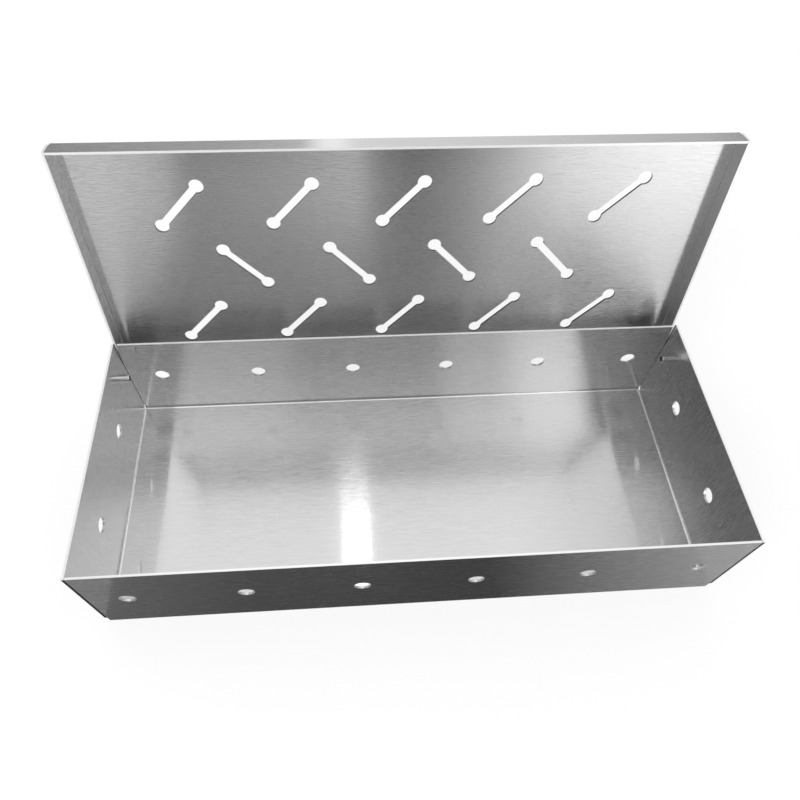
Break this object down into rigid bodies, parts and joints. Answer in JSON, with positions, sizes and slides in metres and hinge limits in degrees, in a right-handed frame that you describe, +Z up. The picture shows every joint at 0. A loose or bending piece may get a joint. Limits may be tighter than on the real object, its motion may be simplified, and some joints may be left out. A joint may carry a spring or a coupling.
{
  "type": "smoker box",
  "caption": "Folded stainless-steel smoker box for a barbecue: a shallow vented tray with a slotted lid that turns on two stub pins.",
  "frame": {"origin": "centre of the tray's underside, on the surface that the box stands on", "axes": "+X to the right along the tray's length, +Y from the front wall to the hinged rear wall, +Z up"},
  "size_m": [0.2306, 0.1179, 0.1168],
  "materials": {
    "tray_steel": "fine brushing along the tray's length, bright sheared edges",
    "lid_steel": "fine brushing along the lid's length, bright sheared edges",
    "pin_steel": "turned, plain"
  },
  "bodies": {
    "tray": {"base_tray": "tray_steel", "left_hinge_pin": "pin_steel", "right_hinge_pin": "pin_steel"},
    "lid": {"lid": "lid_steel"}
  },
  "joints": [
    {"name": "lid_hinge", "type": "hinge", "parent": "tray", "child": "lid", "pos_m": [0, 0.039, 0.0325], "axis": [1, 0, 0], "range_deg": [0, 102.5]}
  ]
}
